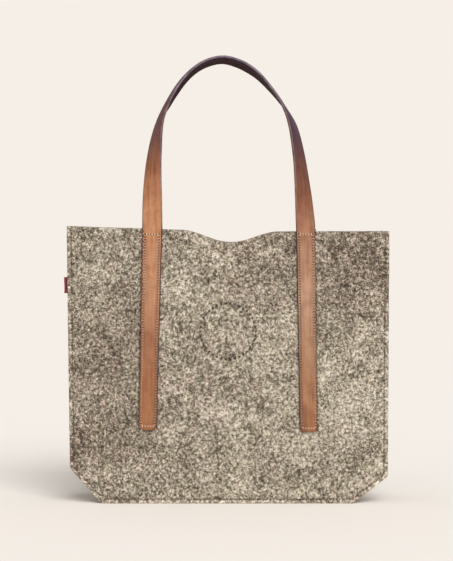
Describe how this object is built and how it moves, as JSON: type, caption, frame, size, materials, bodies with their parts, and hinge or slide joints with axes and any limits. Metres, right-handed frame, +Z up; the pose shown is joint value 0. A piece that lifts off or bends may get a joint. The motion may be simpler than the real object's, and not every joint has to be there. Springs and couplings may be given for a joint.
{
  "type": "felt knitting bag",
  "caption": "Open felt tote with cut lower corners, a gusset, leather straps sewn down both faces and two swinging strap handles.",
  "frame": {"origin": "on the ground, at the centre of the whole object's footprint box; the bag's own mid-plane is 23 mm in front of it because the back handle hangs behind", "axes": "+Z up, +X to the bag's right seen from the front, the front face looks along -Y"},
  "size_m": [0.4233, 0.1633, 0.5873],
  "materials": {
    "felt": "matt grey-brown melange wool felt",
    "leather": "smooth tan leather with dark burnished edges",
    "strap_thread": "waxed cream thread",
    "seam_thread": "matt brown thread",
    "tag": "plain red woven ribbon"
  },
  "bodies": {
    "bag": {"front_panel": "felt", "back_panel": "felt", "gusset": "felt", "side_tag": "tag", "front_left_strap": "leather", "front_left_stitching": "strap_thread", "front_right_strap": "leather", "front_right_stitching": "strap_thread", "front_seam_thread": "seam_thread", "back_left_strap": "leather", "back_left_stitching": "strap_thread", "back_right_strap": "leather", "back_right_stitching": "strap_thread", "back_seam_thread": "seam_thread"},
    "front_handle": {"front_handle_loop": "leather"},
    "back_handle": {"back_handle_loop": "leather"}
  },
  "joints": [
    {"name": "front_handle_swing", "type": "hinge", "parent": "bag", "child": "front_handle", "pos_m": [0, -0.0815, 0.36], "axis": [1, 0, 0], "range_deg": [0, 177]},
    {"name": "back_handle_swing", "type": "hinge", "parent": "bag", "child": "back_handle", "pos_m": [0, 0.0355, 0.36], "axis": [1, 0, 0], "range_deg": [0, 177]}
  ]
}
